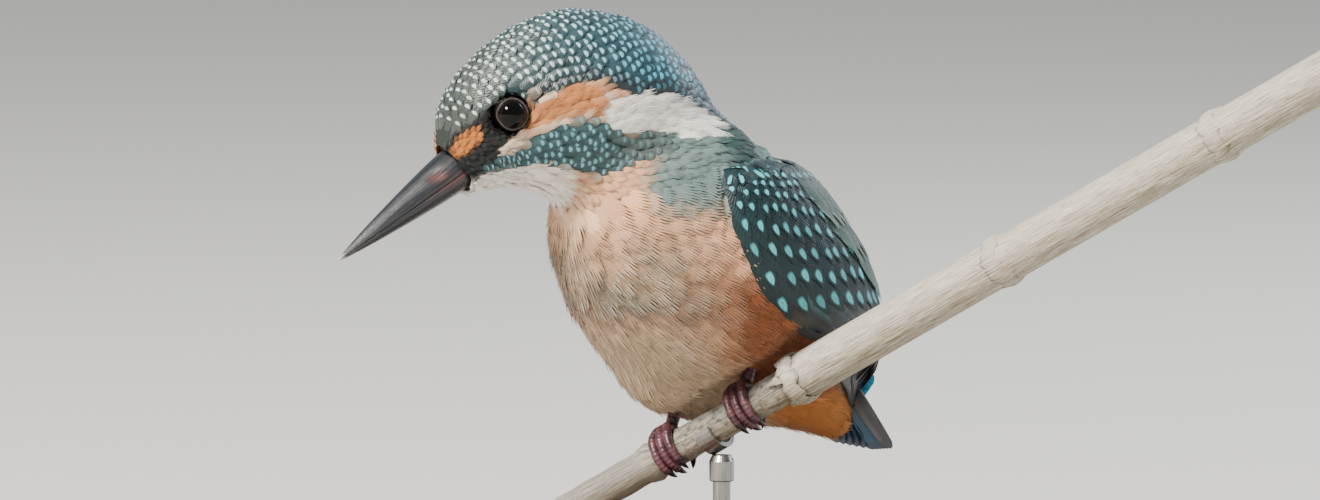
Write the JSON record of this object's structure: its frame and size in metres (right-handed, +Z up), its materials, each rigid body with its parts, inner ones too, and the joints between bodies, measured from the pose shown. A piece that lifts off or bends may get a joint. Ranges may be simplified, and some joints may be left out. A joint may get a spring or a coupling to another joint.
{
  "type": "juvenile common kingfisher, life-size museum model on a reed perch",
  "caption": "Young common kingfisher, a still life-size model gripping a cut length of dry reed on a plain round stand.",
  "frame": {"origin": "centre of the stand base's underside, on the surface that it rests on", "axes": "+Z up; the cut reed, the longest thing here, rises towards +X; the bird's breast faces between -X and -Y and its bill points towards -X"},
  "size_m": [0.1771, 0.124, 0.1081],
  "materials": {
    "bill_horn": "horn, satin gloss",
    "crown_plumage": "small feathers, satin",
    "neck_plumage": "small feathers, matt",
    "breast_plumage": "soft feathers, matt",
    "wing_plumage": "smooth feathers, satin",
    "foot_skin": "scaled skin, satin",
    "claw_horn": "horn, gloss",
    "eye": "wet, high gloss",
    "dry_reed": "dry grass stem, weathered",
    "stand_wood": "dark, satin",
    "stand_steel": "brushed"
  },
  "bodies": {
    "root": {"bill_upper": "bill_horn", "bill_lower": "bill_horn", "head": "crown_plumage", "neck": "neck_plumage", "trunk": "breast_plumage", "wing_left": "wing_plumage", "wing_right": "wing_plumage", "tail": "wing_plumage", "leg_left": "foot_skin", "leg_right": "foot_skin", "foot_left": "foot_skin", "foot_right": "foot_skin", "claw_left_inner": "claw_horn", "claw_left_middle": "claw_horn", "claw_left_outer": "claw_horn", "claw_left_hind": "claw_horn", "claw_right_inner": "claw_horn", "claw_right_middle": "claw_horn", "claw_right_outer": "claw_horn", "claw_right_hind": "claw_horn", "eye_left": "eye", "eye_right": "eye", "perch_reed": "dry_reed", "stand_base": "stand_wood", "stand_rod": "stand_steel", "stand_clip": "stand_steel"}
  },
  "joints": []
}
